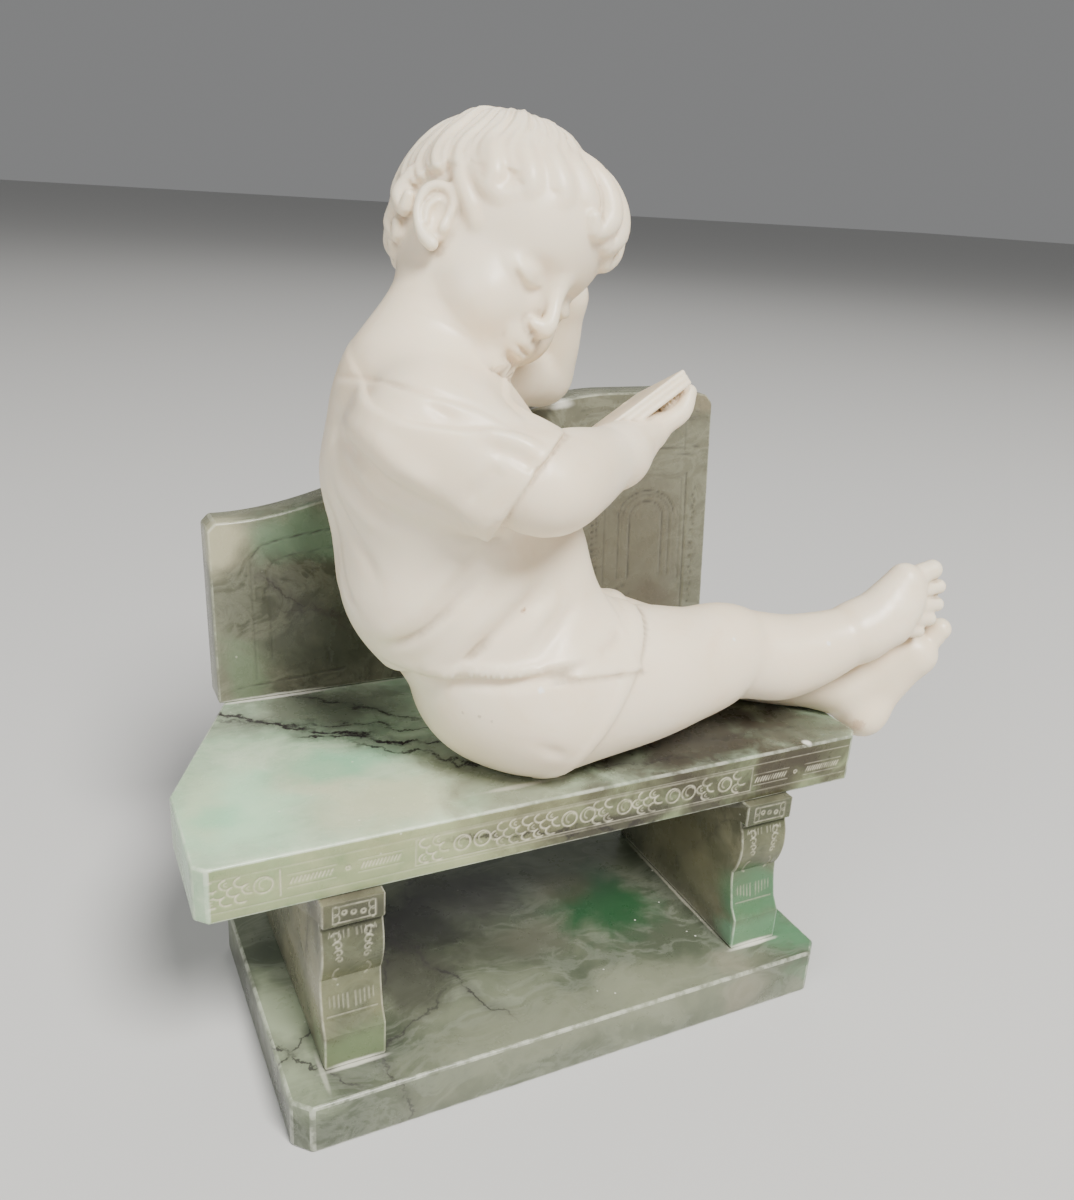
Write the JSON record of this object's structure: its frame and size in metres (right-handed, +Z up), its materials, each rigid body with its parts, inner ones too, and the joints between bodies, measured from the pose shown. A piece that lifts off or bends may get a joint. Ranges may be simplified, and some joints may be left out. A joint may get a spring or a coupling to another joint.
{
  "type": "alabaster statue",
  "caption": "Carved stone figure of a small child in a loose shirt, seated with an open book on a stone bench with a swept back, scroll legs and a plinth.",
  "frame": {"origin": "middle of the plinth's underside", "axes": "+X along the bench towards the feet, +Y to the bench's back, +Z up"},
  "size_m": [0.3507, 0.1785, 0.3755],
  "materials": {
    "cream_alabaster": "satin, softly translucent",
    "green_alabaster": "polished, veined"
  },
  "bodies": {
    "root": {"figure": "cream_alabaster", "seat": "green_alabaster", "back_slab": "green_alabaster", "left_leg": "green_alabaster", "right_leg": "green_alabaster", "plinth": "green_alabaster"}
  },
  "joints": []
}
